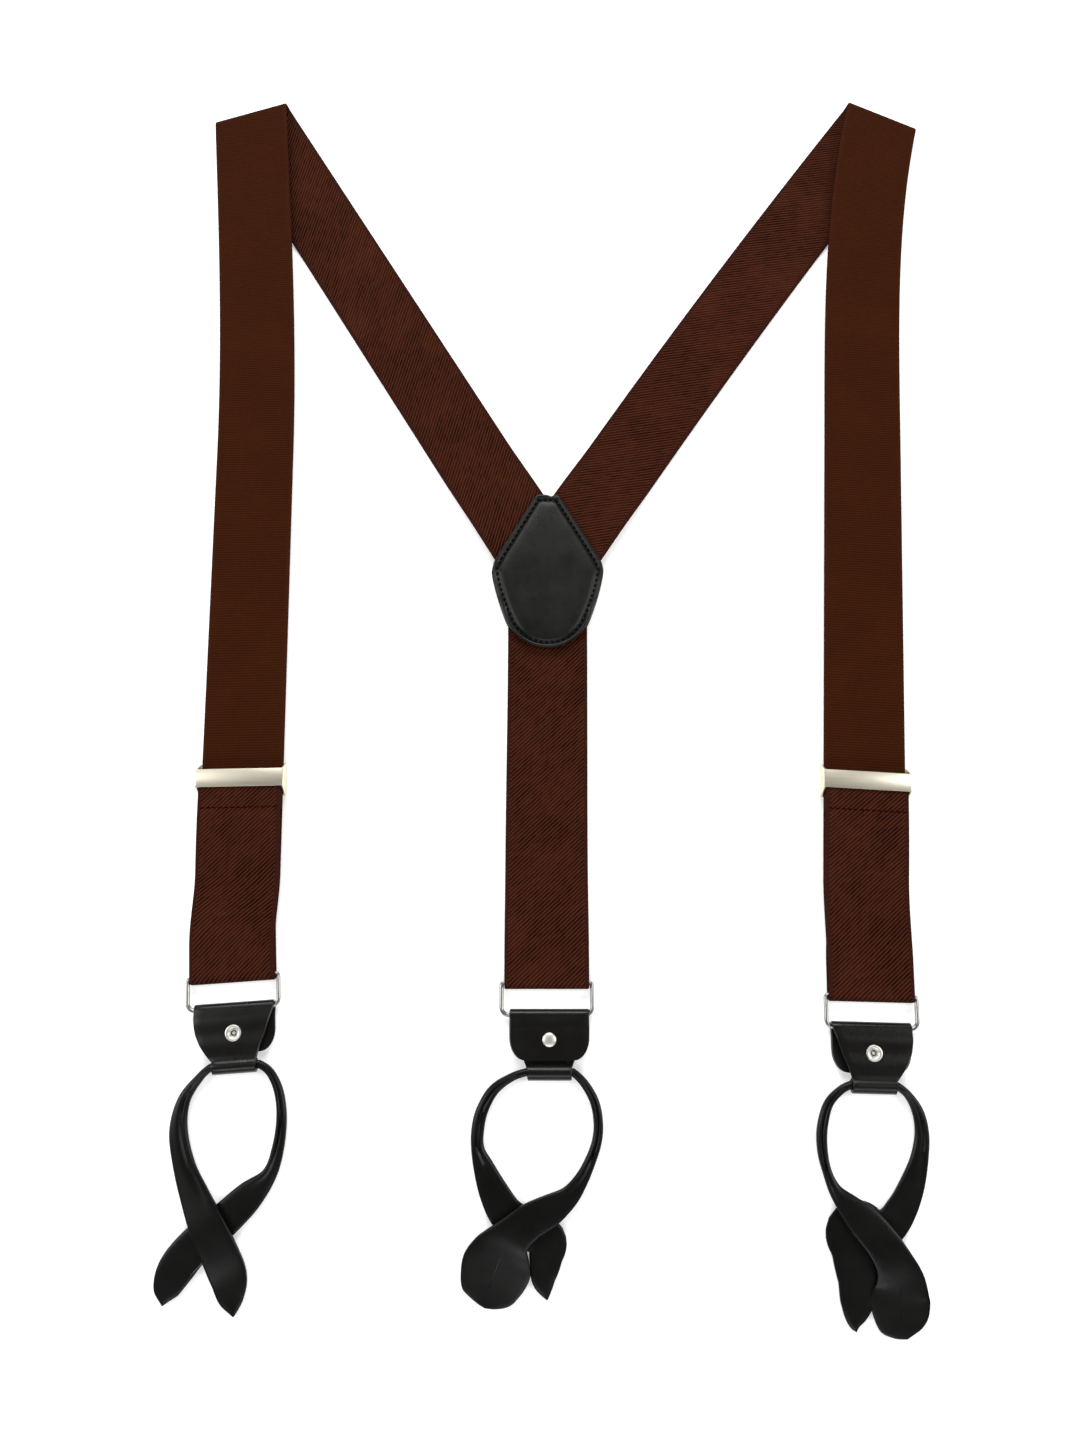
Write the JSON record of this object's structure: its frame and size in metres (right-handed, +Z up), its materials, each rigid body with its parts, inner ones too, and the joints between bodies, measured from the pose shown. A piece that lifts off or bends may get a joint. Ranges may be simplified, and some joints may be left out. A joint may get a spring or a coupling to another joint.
{
  "type": "button-on suspenders",
  "caption": "Elastic trouser suspenders with a leather back patch, metal length sliders, and wire rings holding riveted leather tabs with buttonhole loops.",
  "frame": {"origin": "floor under the middle of the Y patch, with the suspenders laid flat", "axes": "+Z up off the floor, +Y along the straps to the shoulders, +X to the right strap"},
  "size_m": [0.3443, 0.5575, 0.0083],
  "materials": {
    "webbing": "twill-woven elastic",
    "leather": "semi-matte",
    "slider_metal": "satin nickel plate",
    "nickel": "bright nickel plate"
  },
  "bodies": {
    "back": {"y_patch_backing": "leather", "y_patch_pad": "leather", "y_patch_front": "leather", "left_back_strap": "webbing", "right_back_strap": "webbing", "left_shoulder_fold": "webbing", "right_shoulder_fold": "webbing"},
    "left_front": {"left_front_strap": "webbing", "left_adjust_run": "webbing"},
    "left_end": {"left_ring_fold": "webbing", "left_return_run": "webbing"},
    "left_slider": {"left_slider_frame": "slider_metal", "left_slider_bar": "slider_metal", "left_sewn_end": "webbing"},
    "left_clamp": {"left_slider_clamp": "slider_metal"},
    "left_ring_body": {"left_ring": "nickel"},
    "left_tab_body": {"left_tab": "leather", "left_rivet": "nickel", "left_rivet_cap": "nickel"},
    "left_loop_body": {"left_button_loop": "leather"},
    "right_front": {"right_front_strap": "webbing", "right_adjust_run": "webbing"},
    "right_end": {"right_ring_fold": "webbing", "right_return_run": "webbing"},
    "right_slider": {"right_slider_frame": "slider_metal", "right_slider_bar": "slider_metal", "right_sewn_end": "webbing"},
    "right_clamp": {"right_slider_clamp": "slider_metal"},
    "right_ring_body": {"right_ring": "nickel"},
    "right_tab_body": {"right_tab": "leather", "right_rivet": "nickel", "right_rivet_cap": "nickel"},
    "right_loop_body": {"right_button_loop": "leather"},
    "rear_end": {"back_strap": "webbing", "rear_ring_fold": "webbing"},
    "rear_ring_body": {"rear_ring": "nickel"},
    "rear_tab_body": {"rear_tab": "leather", "rear_rivet": "nickel", "rear_rivet_cap": "nickel"},
    "rear_loop_body": {"rear_button_loop": "leather"}
  },
  "joints": [
    {"name": "left_shoulder_hinge", "type": "hinge", "parent": "back", "child": "left_front", "pos_m": [-0.14502, 0.24053, 0.00315], "axis": [-0.9501, -0.312, 0], "range_deg": [0, 175], "deforming": ["left_shoulder_fold"]},
    {"name": "left_length_adjust", "type": "slide", "parent": "left_front", "child": "left_end", "axis": [0.0209, -0.9998, 0], "range_m": [-0.06, 0.036], "deforming": ["left_adjust_run"]},
    {"name": "left_slider_slide", "type": "slide", "parent": "left_end", "child": "left_slider", "axis": [0.0209, -0.9998, 0], "range_m": [-0.06, 0.036], "deforming": ["left_return_run"]},
    {"name": "left_clamp_hinge", "type": "hinge", "parent": "left_slider", "child": "left_clamp", "pos_m": [-0.13101, -0.0882, 0.001], "axis": [0.9998, 0.0209, 0], "range_deg": [0, 90]},
    {"name": "left_ring_hinge", "type": "hinge", "parent": "left_end", "child": "left_ring_body", "pos_m": [-0.1299, -0.1755, 0.0025], "axis": [0.9976, 0.0698, 0], "range_deg": [-90, 90]},
    {"name": "left_tab_hinge", "type": "hinge", "parent": "left_ring_body", "child": "left_tab_body", "pos_m": [-0.12831, -0.18822, 0.0025], "axis": [-0.9976, -0.0698, 0], "range_deg": [-90, 90]},
    {"name": "left_loop_hinge", "type": "hinge", "parent": "left_tab_body", "child": "left_loop_body", "pos_m": [-0.12675, -0.21052, 0.00322], "axis": [0.9976, 0.0698, 0], "range_deg": [-90, 90]},
    {"name": "right_shoulder_hinge", "type": "hinge", "parent": "back", "child": "right_front", "pos_m": [0.1649, 0.23894, 0.00315], "axis": [-0.9019, 0.432, 0], "range_deg": [0, 175], "deforming": ["right_shoulder_fold"]},
    {"name": "right_length_adjust", "type": "slide", "parent": "right_front", "child": "right_end", "axis": [-0.0593, -0.9982, 0], "range_m": [-0.06, 0.036], "deforming": ["right_adjust_run"]},
    {"name": "right_slider_slide", "type": "slide", "parent": "right_end", "child": "right_slider", "axis": [-0.0593, -0.9982, 0], "range_m": [-0.06, 0.036], "deforming": ["right_return_run"]},
    {"name": "right_clamp_hinge", "type": "hinge", "parent": "right_slider", "child": "right_clamp", "pos_m": [0.13591, -0.08951, 0.001], "axis": [0.9982, -0.0593, 0], "range_deg": [0, 90]},
    {"name": "right_ring_hinge", "type": "hinge", "parent": "right_end", "child": "right_ring_body", "pos_m": [0.1325, -0.1833, 0.0025], "axis": [0.9997, -0.0262, 0], "range_deg": [-90, 90]},
    {"name": "right_tab_hinge", "type": "hinge", "parent": "right_ring_body", "child": "right_tab_body", "pos_m": [0.13176, -0.19609, 0.0025], "axis": [-0.9997, 0.0262, 0], "range_deg": [-90, 90]},
    {"name": "right_loop_hinge", "type": "hinge", "parent": "right_tab_body", "child": "right_loop_body", "pos_m": [0.13118, -0.21843, 0.00322], "axis": [0.9997, -0.0262, 0], "range_deg": [-90, 90]},
    {"name": "back_strap_stretch", "type": "slide", "parent": "back", "child": "rear_end", "axis": [0, -1, 0], "range_m": [0, 0.06], "stiffness_N_per_m": 150, "deforming": ["back_strap"]},
    {"name": "rear_ring_hinge", "type": "hinge", "parent": "rear_end", "child": "rear_ring_body", "pos_m": [-0.0006, -0.1781, 0.0025], "axis": [1, 0, 0], "range_deg": [-90, 90]},
    {"name": "rear_tab_hinge", "type": "hinge", "parent": "rear_ring_body", "child": "rear_tab_body", "pos_m": [0.0004, -0.1909, 0.0025], "axis": [-1, 0, 0], "range_deg": [-90, 90]},
    {"name": "rear_loop_hinge", "type": "hinge", "parent": "rear_tab_body", "child": "rear_loop_body", "pos_m": [0.0004, -0.21325, 0.00322], "axis": [1, 0, 0], "range_deg": [-90, 90]}
  ],
  "couplings": [
    {"joint": "left_slider_slide", "follows": "left_length_adjust", "ratio": 1},
    {"joint": "right_slider_slide", "follows": "right_length_adjust", "ratio": 1}
  ]
}
